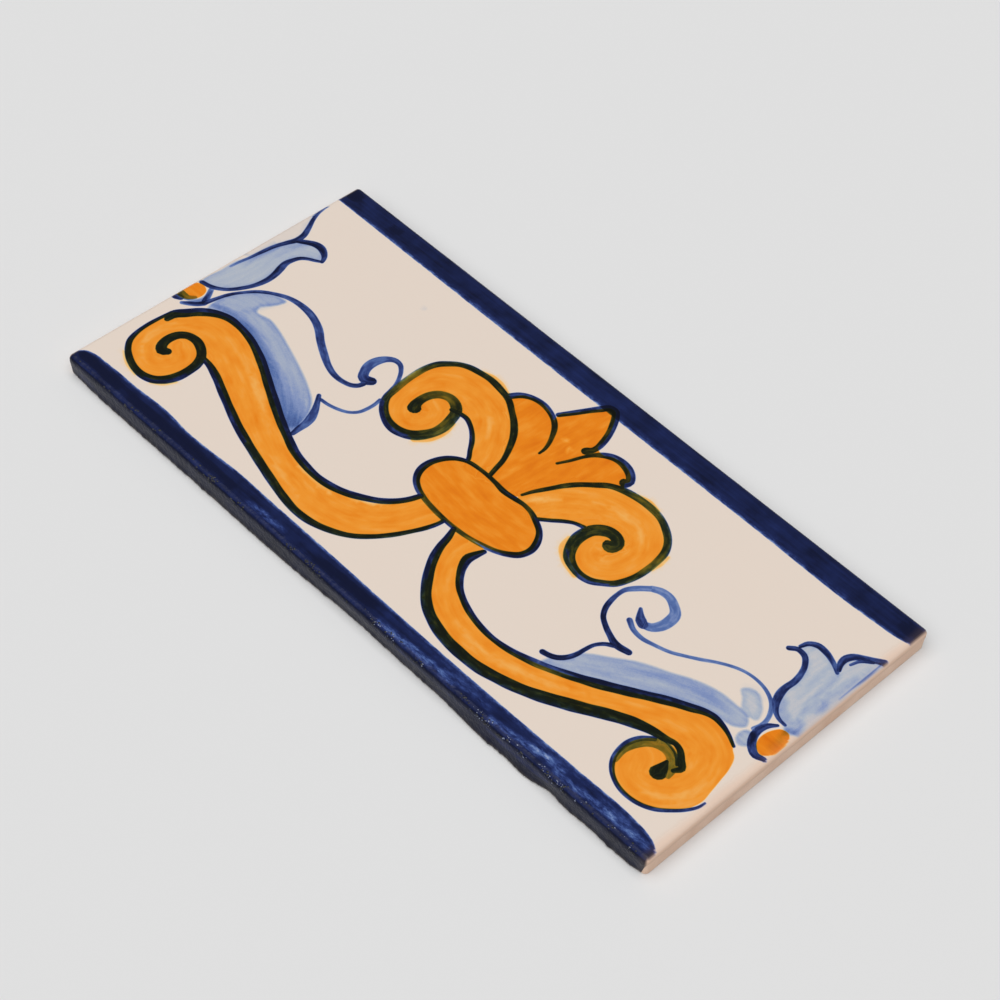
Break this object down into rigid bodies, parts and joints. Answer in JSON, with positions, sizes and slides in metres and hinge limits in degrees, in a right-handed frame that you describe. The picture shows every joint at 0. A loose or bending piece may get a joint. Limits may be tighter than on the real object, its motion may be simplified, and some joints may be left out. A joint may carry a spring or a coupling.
{
  "type": "border tile",
  "caption": "Rectangular glazed wall border tile with softened edges, one snapped long side and a keyed back; the face carries painted scrolls between two long bands.",
  "frame": {"origin": "middle of the bed, under the glazed face", "axes": "+X along the length, +Y to the moulded long side, +Z out of the glazed face"},
  "size_m": [0.2, 0.0996, 0.0063],
  "materials": {
    "tile": "tin-glazed face, bare fired clay on the ends and back"
  },
  "bodies": {
    "root": {"tile": "tile"}
  },
  "joints": []
}
